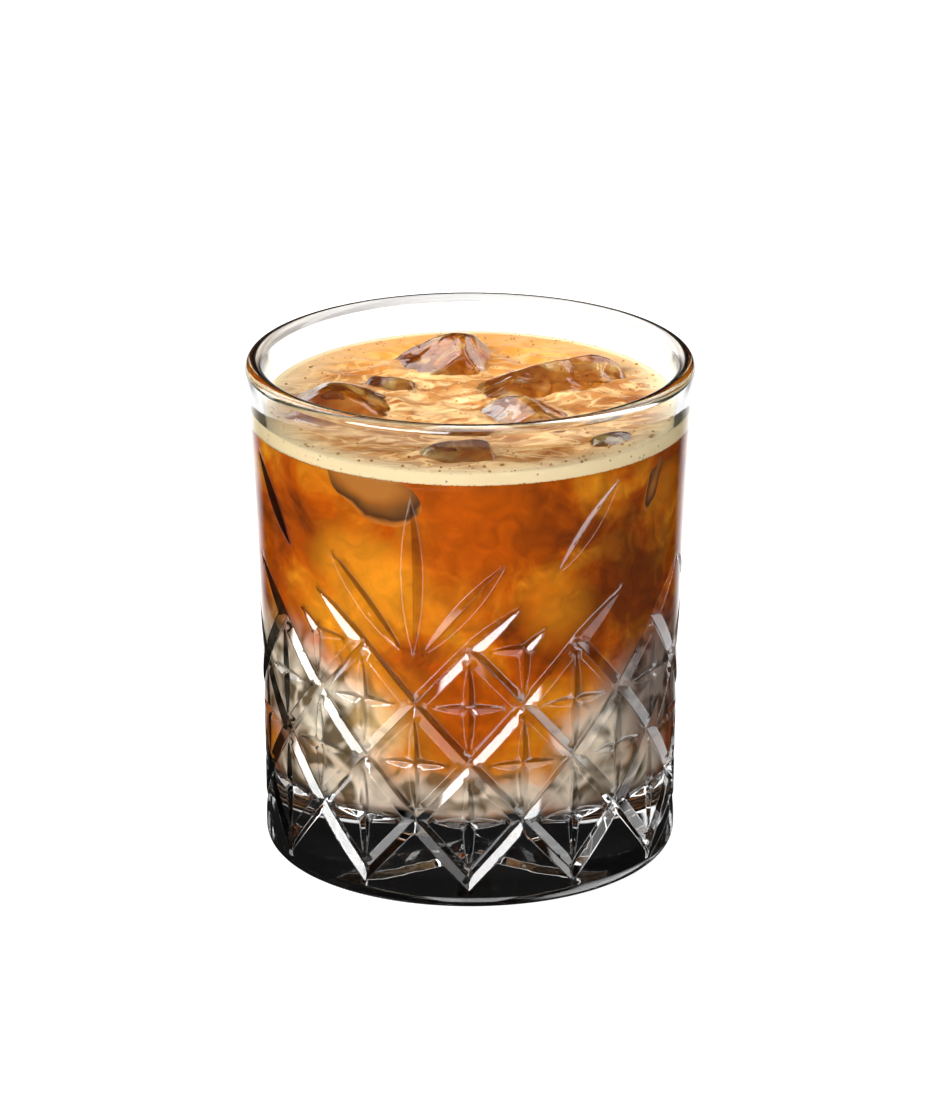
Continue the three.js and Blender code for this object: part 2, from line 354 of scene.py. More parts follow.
def crease_network(cuts, columns, rows):
    """Points on the creases between facets, and the pairs of them that a crease joins."""
    us = np.linspace(0, QUARTER, columns + 1)
    vs = np.linspace(SHEET_LOW, SHEET_HIGH, rows + 1)
    grid = np.stack(np.meshgrid(us, vs, indexing="ij"), axis=-1)
    facet = facets(cuts, grid[..., 0], grid[..., 1])
    points = []
    edge_point = {}
    for axis in (0, 1):
        low = grid[:-1, :] if axis == 0 else grid[:, :-1]
        high = grid[1:, :] if axis == 0 else grid[:, 1:]
        differs = np.diff(facet, axis=axis) != 0
        found = crossings(cuts, low[differs], high[differs])
        for (i, j), point in zip(np.argwhere(differs), found):
            edge_point[(axis, i, j)] = len(points)
            points.append(point)
    pairs = []
    cells = set()
    for axis, i, j in edge_point:
        cells.add((i, j))
        cells.add((i, j - 1) if axis == 0 else (i - 1, j))
    for i, j in sorted(cells):
        sides = ((0, i, j), (1, i + 1, j), (0, i, j + 1), (1, i, j))
        here = [edge_point[side] for side in sides if side in edge_point]
        if i < 0 or j < 0 or i >= columns or j >= rows:
            continue
        if len(here) == 2:
            pairs.append(tuple(here))
        elif len(here) > 2:
            points.append(np.mean([points[k] for k in here], axis=0))
            pairs.extend((k, len(points) - 1) for k in here)
    points = np.array(points)
    points[points[:, 0] < SEAM_SNAP, 0] = 0
    points[points[:, 0] > QUARTER - SEAM_SNAP, 0] = QUARTER
    return points, pairs


def crease_chains(pairs):
    """The runs of creases between junctions, as lists of point numbers."""
    near = {}
    for a, b in pairs:
        near.setdefault(a, []).append(b)
        near.setdefault(b, []).append(a)
    ends = [point for point, others in near.items() if len(others) != 2]
    walked = set()
    chains = []
    for start in ends + sorted(near):
        for first in near[start]:
            if (start, first) in walked:
                continue
            chain = [start, first]
            while len(near[chain[-1]]) == 2 and chain[-1] != start:
                before, here = chain[-2:]
                chain.append(next(k for k in near[here] if k != before))
            walked.update(zip(chain, chain[1:]))
            walked.update(zip(chain[1:], chain))
            chains.append(chain)
    return chains


def respaced(line, spacing):
    """A polyline with evenly spaced points."""
    steps = np.hypot(*np.diff(line, axis=0).T)
    way = np.concatenate(([0], np.cumsum(steps)))
    count = max(1, round(way[-1] / spacing))
    at = np.linspace(0, way[-1], count + 1)
    return np.stack([np.interp(at, way, part) for part in line.T], axis=1)


class PointSet:
    def __init__(self, cell):
        self.cell = cell
        self.points = []
        self.cells = {}

    def nearest(self, point, reach):
        """Number of a point within reach, or None."""
        ci, cj = int(point[0] // self.cell), int(point[1] // self.cell)
        best, best_far = None, reach
        for i in (ci - 1, ci, ci + 1):
            for j in (cj - 1, cj, cj + 1):
                for k in self.cells.get((i, j), ()):
                    far = math.dist(self.points[k], point)
                    if far < best_far:
                        best, best_far = k, far
        return best

    def add(self, point, merge):
        """Number of the point, which is an earlier one where that is within the merge distance."""
        known = self.nearest(point, merge)
        if known is not None:
            return known
        self.points.append((float(point[0]), float(point[1])))
        key = (int(point[0] // self.cell), int(point[1] // self.cell))
        self.cells.setdefault(key, []).append(len(self.points) - 1)
        return len(self.points) - 1


def quarter_sheet(cuts):
    """Points and triangles of the unrolled quarter, with an edge along every crease."""
    raw, pairs = crease_network(cuts, *CREASE_GRID)
    plane = PointSet(WALL_SPACING)
    edges = []
    quarter_sides = ROUND_SIDES // 4
    for v in (SHEET_LOW, SHEET_HIGH):
        ring = [plane.add((QUARTER * k / quarter_sides, v), TINY) for k in range(quarter_sides + 1)]
        edges.extend(zip(ring, ring[1:]))
    beside = []
    for chain in crease_chains(pairs):
        line = respaced(raw[chain], CREASE_SPACING)
        numbers = [plane.add(point, CREASE_MERGE) for point in line]
        edges.extend((a, b) for a, b in zip(numbers, numbers[1:]) if a != b)
        ways = np.gradient(line, axis=0)
        ways /= np.maximum(np.hypot(*ways.T), TINY)[:, None]
        asides = np.stack((-ways[:, 1], ways[:, 0]), axis=1)
        for side in (-1, 1):
            beside.extend(line[1:-1] + side * BEVEL_REACH * asides[1:-1])
    for side_u in (0.0, QUARTER):
        for v in np.arange(SHEET_LOW, SHEET_HIGH, SEAM_SPACING):
            plane.add((side_u, v), SEAM_MERGE)
        seam = sorted((p[1], k) for k, p in enumerate(plane.points) if abs(p[0] - side_u) < SEAM_MARGIN)
        edges.extend((a[1], b[1]) for a, b in zip(seam, seam[1:]))
        beside.extend((abs(side_u - BEVEL_REACH), v) for v, _ in seam[1:-1])
    for point in beside:
        if BEVEL_REACH / 2 < point[0] < QUARTER - BEVEL_REACH / 2:
            plane.add(point, BEVEL_MERGE)
    rows = np.arange(SHEET_LOW + WALL_SPACING, SHEET_HIGH - WALL_TOP_MARGIN, WALL_ROW_STEP)
    for row, v in enumerate(rows, 1):
        first = WALL_SPACING * (0.5 + 0.5 * (row % 2))
        for u in np.arange(first, QUARTER - WALL_SIDE_MARGIN, WALL_SPACING):
            plane.add((u, v), WALL_MERGE)
    made = geometry.delaunay_2d_cdt([Vector(p) for p in plane.points], edges, [], 0, PLANE_MERGE)
    points = np.array([tuple(p) for p in made[0]])
    for side_u in (0.0, QUARTER):
        points[np.abs(points[:, 0] - side_u) < SEAM_MARGIN, 0] = side_u
    return points, np.array(made[2])


def round_point(radius, angle, z):
    """A point of the tumbler from its radius, its angle from the front and its height."""
    return np.stack((radius * np.sin(angle), -radius * np.cos(angle), z), axis=-1)


def slope(height, at, near=1e-3):
    """How fast a height changes at a place, from just before it to just after it."""
    return (height(at + near) - height(at - near)) / (2 * near)


def cut_wall(size, cut):
    """Vertices, normals and triangles of the whole cut wall, made of four mirrored quarters."""
    cuts = wall_cuts(cut)
    points, triangles = quarter_sheet(cuts)
    u, v = points.T
    soft = cut.edge_softness
    radius = outer_radius(size, v) - cut_depth(cuts, soft, u, v)
    rise = slope(partial(outer_radius, size), v) - slope(partial(cut_depth, cuts, soft, u), v)
    turn = slope(lambda near_u: cut_depth(cuts, soft, near_u, v), u) * UNROLL_RADIUS / radius
    meshes = []
    for start, way in ((0, 1), (0, -1), (math.pi, 1), (math.pi, -1)):
        angle = PATTERN_TURN + start + way * u / UNROLL_RADIUS
        level = np.zeros_like(u)
        outward = round_point(1, angle, level)
        around = round_point(1, angle + math.pi / 2, level)
        normals = outward + way * turn[:, None] * around
        normals[:, 2] -= rise
        faces = triangles if way > 0 else triangles[:, ::-1]
        meshes.append((round_point(radius, angle, v), normals, faces))
    return meshes


def turned_sheet(profile, sides):
    """Vertices, normals and triangles of a profile of radius and height turned about the axis.

    The outside lies to the right of the profile's way."""
    profile = np.array(profile)
    ways = np.gradient(profile, axis=0)
    ways /= np.hypot(*ways.T)[:, None]
    rows = len(profile)
    angle = np.tile(PATTERN_TURN + 2 * math.pi * np.arange(sides) / sides, (rows, 1))
    parts = (*profile.T, ways[:, 1], -ways[:, 0])
    radius, height, across, lift = (np.tile(part[:, None], sides) for part in parts)
    places = round_point(radius, angle, height).reshape(-1, 3)
    normals = round_point(across, angle, lift).reshape(-1, 3)
    triangles = []
    for row in range(rows - 1):
        for k in range(sides):
            a, b = row * sides + k, row * sides + (k + 1) % sides
            c, d = b + sides, a + sides
            if profile[row, 0] > TINY:
                triangles.append((a, b, c))
            if profile[row + 1, 0] > TINY:
                triangles.append((a, c, d))
    return places, normals, np.array(triangles)


def arc(radius, height, turn, start, end, pieces):
    """Points of an arc in the profile plane, both ends included."""
    angles = np.radians(np.linspace(start, end, pieces + 1))
    return [(radius + turn * math.cos(a), height + turn * math.sin(a)) for a in angles]


def straight(start, end, pieces):
    """Points of a straight run of a profile, without its first."""
    return [tuple(np.array(start) + (np.array(end) - start) * k / pieces) for k in range(1, pieces + 1)]


def crease_marks(places, cuts):
    """Marks of 1 or 0 for each vertex: valleys in the middle of a cut, and ridges between cuts."""
    x, y, z = places.T
    angle = np.abs((np.arctan2(x, -y) - PATTERN_TURN + math.pi) % (2 * math.pi) - math.pi)
    u = np.minimum(angle, math.pi - angle) * UNROLL_RADIUS
    here = facets(cuts, u, z, -1)
    valleys = np.zeros(len(places), bool)
    ridges = np.zeros(len(places), bool)
    for du, dv in ((-1, 0), (1, 0), (0, -1), (0, 1)):
        there = facets(cuts, u + du * CREASE_NEAR, z + dv * CREASE_NEAR, -1)
        valleys |= (there != here) & (there // 2 == here // 2)
        ridges |= there // 2 != here // 2
    on_wall = (z > SHEET_LOW) & (z < SHEET_HIGH) & (np.hypot(x, y) > WALL_INSIDE)
    return {"valley": valleys & on_wall & ~ridges, "ridge": ridges & on_wall}


def welded(meshes):
    """One set of vertices, normals and triangles from sheets that meet vertex to vertex."""
    places = np.concatenate([mesh[0] for mesh in meshes])
    normals = np.concatenate([mesh[1] for mesh in meshes])
    shift = np.cumsum([0] + [len(mesh[0]) for mesh in meshes])
    faces = np.concatenate([mesh[2] + s for mesh, s in zip(meshes, shift)])
    keys = np.round(places * WELDS_PER_MM).astype(np.int64)
    _, first, number = np.unique(keys, axis=0, return_index=True, return_inverse=True)
    number = number.reshape(-1)
    total = np.zeros((len(first), 3))
    np.add.at(total, number, normals / np.linalg.norm(normals, axis=1)[:, None])
    total /= np.maximum(np.linalg.norm(total, axis=1), TINY)[:, None]
    faces = number[faces]
    whole = (faces[:, 0] != faces[:, 1]) & (faces[:, 1] != faces[:, 2]) & (faces[:, 2] != faces[:, 0])
    return places[first], total, faces[whole]


def smooth(mesh):
    """Shades all of a mesh smooth."""
    mesh.polygons.foreach_set("use_smooth", np.ones(len(mesh.polygons), bool))


def mesh_piece(name, places, faces, normals=None):
    """A smooth mesh object from millimetre places."""
    mesh = bpy.data.meshes.new(name)
    mesh.from_pydata((np.asarray(places) * MM).tolist(), [], np.asarray(faces).tolist())
    mesh.validate()
    smooth(mesh)
    if normals is not None:
        mesh.normals_split_custom_set_from_vertices(np.asarray(normals).tolist())
    piece = bpy.data.objects.new(name, mesh)
    bpy.context.scene.collection.objects.link(piece)
    return piece


def mark(piece, name, values):
    """Gives every vertex of a piece a number that its material reads."""
    attribute = piece.data.attributes.new(name, "FLOAT", "POINT")
    attribute.data.foreach_set("value", values.astype(np.float32))


def dress(piece, material, node=None):
    """Gives a piece its material and the body that carries it, and hides the node that it stands for."""
    piece.data.materials.clear()
    piece.data.materials.append(material)
    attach(piece, "root")
    if node:
        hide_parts(node)


def well_profile(size, overlap):
    """The well's profile from the top of its corner to the axis, moved into the glass by an overlap."""
    corner_z = size.floor_z + size.well_corner
    turn = size.well_corner + overlap
    points = arc(size.well_low_radius - size.well_corner, corner_z, turn, 0, -90, PIECES.corner)
    return points + straight(points[-1], (0, size.floor_z - overlap), PIECES.floor)


def tumbler_sheets(size, cut):
    """The tumbler's surface: the cut wall, the lip and the well above it, and the foot below it."""
    lip = size.rim_radius - size.lip_radius
    lip_z = size.height - size.lip_radius
    heights = np.linspace(SHEET_HIGH, size.shoulder_z, PIECES.shoulder + 1)
    above = [(float(outer_radius(size, z)), z) for z in heights]
    above += arc(lip, lip_z, size.lip_radius, 0, 180, PIECES.lip)
    above += straight(above[-1], (size.well_top_radius, size.shoulder_z), PIECES.lip_inside)
    above += straight(above[-1], (size.well_low_radius, size.floor_z + size.well_corner), PIECES.well)
    above += well_profile(size, 0)[1:]
    inset_and_light = size.foot_radius - size.foot_rounding
    below = arc(inset_and_light, size.foot_rounding, size.foot_rounding, 0, -90, PIECES.foot)[:-1]
    below += straight((0, 0), (inset_and_light, 0), PIECES.floor)[::-1] + [(0.0, 0.0)]
    sheets = cut_wall(size, cut)
    sheets.append(turned_sheet(above, ROUND_SIDES))
    places, normals, faces = turned_sheet(below, ROUND_SIDES)
    sheets.append((places, -normals, faces[:, ::-1]))
    return sheets


# Part 2: the drink.
ICE_BOXINESS = 0.7
ICE_BALL = (128, 96)
FACE_SOFTNESS = 0.7
POCKET_INSET = 0.15
MELT = 0.1

# Waves that the melting leaves on the ice: waves in a millimetre, height and way of the seed.
MELT_WAVES = ((0.16, 0.3, 1), (0.42, 0.14, -1))


def ice_piece(at, half, turn, lean, *faces):
    """The sizes of one piece of ice."""
    return SimpleNamespace(at=at, half=half, turn=turn, lean=lean, faces=faces)


# Each piece of ice that shows: its middle, its half sizes, and its turn and lean in degrees. Its flat faces
# are given by their direction round and up, in degrees, and by how far out they lie, as a share of the half
# sizes.
ICE = {
    "ice_1": ice_piece((-24.2, -3.4, 86), (12.6, 7.8, 7.2), -8, 3,
                       (0, 70, 0.78), (180, 55, 0.84), (-80, 50, 0.88)),
    "ice_2": ice_piece((-4.9, 20.4, 87.2), (12, 7, 8.4), 8, -3, (205, 62, 0.6), (-20, 35, 0.74)),
    "ice_3": ice_piece((13.4, 9, 86.6), (17.4, 6.8, 7.8), 16, -4,
                       (100, 60, 0.82), (-75, 48, 0.76), (172, 70, 0.8)),
    "ice_4": ice_piece((11, -9.4, 85.8), (10.6, 5.4, 6.8), -6, 3, (225, 50, 0.74), (10, 68, 0.8)),
    "ice_5": ice_piece((-1.4, -28.3, 84.6), (8.6, 5.8, 6.6), 4, -4, (0, 18, 0.84), (-95, 58, 0.82)),
    "ice_6": ice_piece((26.4, -20.4, 84.6), (6, 3.8, 5.8), 32, 0, (-60, 58, 0.8)),
    "ice_7": ice_piece((-15.2, 8.9, 86), (5.6, 3.9, 5.8), -10, 0, (80, 52, 0.82), (-100, 60, 0.86)),
}


def unit_ball(sides, bands):
    """Directions and faces of a ball."""
    heights = np.linspace(math.pi, 0, bands + 1)[1:-1]
    turns = 2 * math.pi * np.arange(sides) / sides
    tilt, turn = np.meshgrid(heights, turns, indexing="ij")
    ring = np.stack((np.sin(tilt) * np.cos(turn), np.sin(tilt) * np.sin(turn), np.cos(tilt)), axis=-1)
    places = np.concatenate((ring.reshape(-1, 3), [(0, 0, -1), (0, 0, 1)]))
    low, high = len(places) - 2, len(places) - 1
    faces = []
    for k in range(sides):
        after = (k + 1) % sides
        faces.append((low, after, k))
        for band in range(bands - 2):
            a, b = band * sides + k, band * sides + after
            faces.append((a, b, b + sides))
            faces.append((a, b + sides, a + sides))
        top = (bands - 2) * sides
        faces.append((high, top + k, top + after))
    return places, np.array(faces)


def ice_block(block, extra):
    """Places and faces of one melted block, grown all round by an extra thickness."""
    ball, faces = unit_ball(*ICE_BALL)
    half = np.array(block.half)
    places = np.sign(ball) * np.abs(ball) ** ICE_BOXINESS * (half + extra)
    for degrees, up, share in block.faces:
        turn, rise = math.radians(degrees), math.radians(up)
        way = np.array((math.cos(rise) * math.cos(turn), math.cos(rise) * math.sin(turn), math.sin(rise)))
        proud = places @ way - share * np.linalg.norm(way * half) - extra
        trim = (proud + np.sqrt(proud ** 2 + FACE_SOFTNESS ** 2)) / 2
        places = places - trim[:, None] * way
    seed = Vector(block.at)
    for k, way in enumerate(ball):
        place = Vector(places[k])
        melt = sum(noise.noise(place * often + seed * to) * high for often, high, to in MELT_WAVES)
        places[k] += way * (melt - MELT)
    spin = Euler((0, math.radians(block.lean), math.radians(block.turn)), "XYZ").to_matrix()
    return places @ np.array(spin).T + np.array(block.at), faces


def cut_pockets(piece):
    """Cuts the places of the ice out of a piece of the drink."""
    for name, block in ICE.items():
        cutter = mesh_piece("pocket_" + name, *ice_block(block, -POCKET_INSET))
        cut = piece.modifiers.new("pocket", "BOOLEAN")
        cut.solver = "MANIFOLD"
        cut.operation = "DIFFERENCE"
        cut.object = cutter
        bpy.context.view_layer.update()
        ready = piece.evaluated_get(bpy.context.evaluated_depsgraph_get())
        mesh = bpy.data.meshes.new_from_object(ready)
        piece.modifiers.clear()
        piece.data = mesh
        bpy.data.objects.remove(cutter)
    smooth(piece.data)


def drink_piece(name, sheet, material, node):
    """Makes a piece of the drink that has pockets for the ice and stands for a node."""
    places, _, faces = welded([sheet])
    piece = mesh_piece(name, places, faces)
    cut_pockets(piece)
    dress(piece, material, node)


def coffee_sheet(size, drink):
    """The coffee's surface, just inside the glass."""
    over = drink.wall_overlap
    profile = well_profile(size, over)[::-1]
    top = (float(inner_radius(size, drink.coffee_top)) + over, drink.coffee_top)
    profile += straight(profile[-1], top, PIECES.coffee)
    profile += straight(top, (0, drink.coffee_top), PIECES.level)
    return turned_sheet(profile, ROUND_SIDES)


FOAM_TILT = 1.3
FOAM_RIPPLE = 0.25
RIPPLE_RIGHT = (0.33, 0.8)
RIPPLE_BACK = (0.29, -0.5)
FOAM_EDGE_LIFT = 0.4
FOAM_HEAP = 0.45
HEAP_OFFSET = 0.4
HEAP_REACH = 1.3
FOAM_RINGS = 110
FOAM_SIDES = 320
FOAM_WALL_ROWS = 6

# Folds of the foam, each a noise: waves in a millimetre to the right and to the back, the way that the
# drift moves it, its layer of the noise and its height. The drift and the fine grain have waves, a layer
# and a height.
FOLDS = ((0.09, 0.2, 1, 1.7, 1.1), (0.25, 0.4, -1, 5.5, 0.45))
FOLD_DRIFT = (0.05, 0.05, 4.2, 1.5)
FOLD_GRAIN = (0.7, 0.9, 9.1, 0.1)
FOLD_MEAN = 0.2
FOLD_SHORE = 5


def layered_noise(x, y, layer):
    """Noise at a place, with the waves and the height of one layer."""
    often_x, often_y, level, high = layer
    return high * noise.noise((x * often_x, y * often_y, level))


def foam_folds(x, y):
    """Height of the folds and of the grain of the foam at a place."""
    drift = layered_noise(x, y, FOLD_DRIFT)
    height = 0
    for often_x, often_y, way, level, high in FOLDS:
        fold = noise.noise((x * often_x + way * drift, y * often_y - way * drift, level))
        height += high * (FOLD_MEAN - abs(fold))
    return height + layered_noise(x, y, FOLD_GRAIN)


def foam_height(size, drink, x, y):
    """Height of the foam: higher at the back, folded, heaped against the ice and drawn up at the wall."""
    reach = np.hypot(x, y) / size.well_top_radius
    ripple = FOAM_RIPPLE * np.sin(RIPPLE_RIGHT[0] * x + RIPPLE_RIGHT[1])
    ripple = ripple * np.cos(RIPPLE_BACK[0] * y + RIPPLE_BACK[1])
    height = drink.foam_level + FOAM_TILT * y / size.well_top_radius
    height = height + ripple * (1 - reach ** 2) + FOAM_EDGE_LIFT * reach ** 8
    for block in ICE.values():
        turn = math.radians(block.turn)
        along = (x - block.at[0]) * math.cos(turn) + (y - block.at[1]) * math.sin(turn)
        aside = (y - block.at[1]) * math.cos(turn) - (x - block.at[0]) * math.sin(turn)
        away = (np.hypot(along / block.half[0], aside / block.half[1]) - 1) * block.half[1]
        height = height + FOAM_HEAP * np.exp(-((away + HEAP_OFFSET) / HEAP_REACH) ** 2)
    folds = np.zeros_like(height)
    for k in np.ndindex(height.shape):
        folds[k] = foam_folds(x[k], y[k])
    return height + folds * np.clip((1 - reach) * FOLD_SHORE, 0, 1)


def foam_sheet(size, drink):
    """The foam's surface: its underside in the coffee, its edge in the glass and its rippled top."""
    over = drink.wall_overlap
    base = drink.coffee_top - over
    edge = float(inner_radius(size, drink.foam_level)) + over
    profile = [(0.0, base)] + straight((0, base), (edge, base), PIECES.foam_base)
    profile += straight((edge, base), (edge, drink.foam_level), FOAM_WALL_ROWS)
    first_top = len(profile) - 1
    profile += straight((edge, drink.foam_level), (0, drink.foam_level), FOAM_RINGS)
    places, normals, faces = turned_sheet(profile, FOAM_SIDES)
    grid = places.reshape(len(profile), FOAM_SIDES, 3)
    top = grid[first_top:]
    top[..., 2] = foam_height(size, drink, top[..., 0], top[..., 1])
    for row in range(1, FOAM_WALL_ROWS):
        part = row / FOAM_WALL_ROWS
        grid[first_top - FOAM_WALL_ROWS + row, :, 2] = base + part * (grid[first_top, :, 2] - base)
    for row in range(first_top - FOAM_WALL_ROWS, first_top + 1):
        wanted = inner_radius(size, grid[row, :, 2]) + over
        grid[row, :, :2] *= (wanted / np.hypot(grid[row, :, 0], grid[row, :, 1]))[:, None]
    return places, normals, faces


# Ice that lies in the coffee against the wall: its angle from the front, height, half width, half height
# and how far its foot leans to the side. Its lumps are a share of its half sizes. Its upper part is painted
# lighter, as painted light.
SUNK_ICE = (
    (-27, 83.6, 8.2, 7.0, 3.4),
    (58, 79.6, 2.0, 4.6, -1.6),
)
SUNK_BALL = (64, 48)
SUNK_EDGE = 0.03
SUNK_CROWN = 0.1
SUNK_BACK = 4
LUMP_SIZE = 0.3
LUMP_WAVES = 1.4
LIT_FROM_Z = 80.5
LIT_FADE = 6
LIT_SHARE = 0.7


def sunk_ice_sheets(size, drink):
    """Rounded faces of sunk ice where they press through the coffee to the wall."""
    ball, faces = unit_ball(*SUNK_BALL)
    sheets = []
    for degrees, z, half_width, half_height, lean in SUNK_ICE:
        swells = [noise.noise((way[0] * LUMP_WAVES, way[2] * LUMP_WAVES, degrees)) for way in ball]
        lumps = 1 + LUMP_SIZE * np.array(swells)
        height = np.minimum(z + half_height * lumps * ball[:, 2], drink.coffee_top - drink.wall_overlap)
        wall = inner_radius(size, height) + drink.wall_overlap
        aside = half_width * lumps * ball[:, 0] - lean * ball[:, 2]
        middle = 1 - np.hypot(ball[:, 0], ball[:, 2])
        radius = wall + SUNK_EDGE + np.where(ball[:, 1] < 0, SUNK_CROWN * middle, -SUNK_BACK * ball[:, 1])
        angle = math.radians(degrees) + aside / wall
        sheets.append((round_point(radius, angle, height), np.ones_like(ball), faces))
    return sheets


def sunk_ice_inset(size, drink, places):
    """How far in from its edge each place of the sunk ice lies, from 0 to 1, and more on its upper part, as
    painted light.
    """
    proud = np.hypot(places[:, 0], places[:, 1]) - inner_radius(size, places[:, 2]) - drink.wall_overlap
    # Painted light: the upper part of the sunk ice is pushed towards its lighter tones.
    lit = LIT_SHARE * np.clip((places[:, 2] - LIT_FROM_Z) / LIT_FADE, 0, 1)
    return np.clip((proud - SUNK_EDGE) / SUNK_CROWN + lit, 0, 1)


# Bubbles: how many, the share beside the ice and the share up to those along the wall, where these lie as
# shares of the ice's half sizes and of the foam's radius, and how their sizes spread.
BUBBLES = 420
BUBBLE_SEED = 7
BUBBLE_BALL = (10, 6)
BESIDE_ICE = 0.4
UP_TO_WALL = 0.6
ICE_SHORE = (1.0, 1.35)
WALL_SHORE = (0.9, 0.985)
OPEN_REACH = 0.95
WALL_CLEARANCE = 0.4
BUBBLE_SHARES = (0.25, 1)
BUBBLE_SPREAD = 1.5
BUBBLE_RISE = 0.2


def bubble_sheets(size, drink):
    """Small bubbles on the foam, more of them along the wall and beside the ice."""
    chance = np.random.default_rng(BUBBLE_SEED)
    ball, faces = unit_ball(*BUBBLE_BALL)
    blocks = list(ICE.values())
    edge = float(inner_radius(size, drink.foam_level))
    sheets = []
    while len(sheets) < BUBBLES:
        kind = chance.random()
        if kind < BESIDE_ICE:
            block = blocks[chance.integers(len(blocks))]
            turn = chance.uniform(0, 2 * math.pi)
            far = chance.uniform(*ICE_SHORE)
            x = block.at[0] + far * block.half[0] * math.cos(turn)
            y = block.at[1] + far * block.half[1] * math.sin(turn)
        else:
            by_wall = kind < UP_TO_WALL
            reach = chance.uniform(*WALL_SHORE) if by_wall else math.sqrt(chance.random()) * OPEN_REACH
            turn = chance.uniform(0, 2 * math.pi)
            x, y = reach * edge * math.sin(turn), reach * edge * math.cos(turn)
        if math.hypot(x, y) > edge - WALL_CLEARANCE:
            continue
        radius = drink.bubble_size * chance.uniform(*BUBBLE_SHARES) ** BUBBLE_SPREAD
        z = float(foam_height(size, drink, np.array([x]), np.array([y]))[0])
        sheets.append((ball * radius + (x, y, z + BUBBLE_RISE * radius), ball, faces))
    return sheets


# Part 3: materials.
def add_node(tree, kind, inputs=(), stops=(), **settings):
    """Adds a node with its settings, its inputs as values or links, and the stops of its colour ramp.

    A dict names the inputs. A tuple fills those in use in order: a Map Range takes the value, the two ends
    of its range and what it becomes there. A node given as an input is linked by its first output in use.
    A ramp's first two stops are its ends."""
    made = tree.nodes.new("ShaderNode" + kind)
    for name, value in settings.items():
        setattr(made, name, value)
    sockets = [socket for socket in made.inputs if socket.enabled]
    if isinstance(inputs, dict):
        sockets = [made.inputs[name] for name in inputs]
        inputs = inputs.values()
    for socket, value in zip(sockets, inputs):
        if isinstance(value, bpy.types.Node):
            value = next(output for output in value.outputs if output.enabled)
        if isinstance(value, bpy.types.NodeSocket):
            tree.links.new(value, socket)
        else:
            socket.default_value = value
    for k, (position, colour) in enumerate(stops):
        elements = made.color_ramp.elements
        element = elements[k] if k < 2 else elements.new(position)
        element.position = position
        element.color = opaque(colour)
    return made


def new_material(name):
    """An empty node material, and the function that adds its nodes."""
    material = bpy.data.materials.new(name)
    material.use_nodes = True
    material.node_tree.nodes.clear()
    return material, partial(add_node, material.node_tree)


def surfaced(material, shader):
    """The material with a shader as its surface."""
    add_node(material.node_tree, "OutputMaterial", {"Surface": shader})
    return material


def opaque(colour):
    """A linear colour with full alpha."""
    return (*colour, 1.0)


def pattern_scale(size_mm):
    """Texture scale that gives a pattern of a size, in object coordinates."""
    return 1 / (size_mm * MM)


UP = (0.0, 0.0, 1.0)
SOFT_STEP = "SMOOTHSTEP"

# The right-turned flanks of the cuts that face this way, to the front left, mirror nothing bright: they get
# painted shade, near black.
DARK_WAY = (-math.sin(math.radians(52)), -math.cos(math.radians(52)), 0.0)


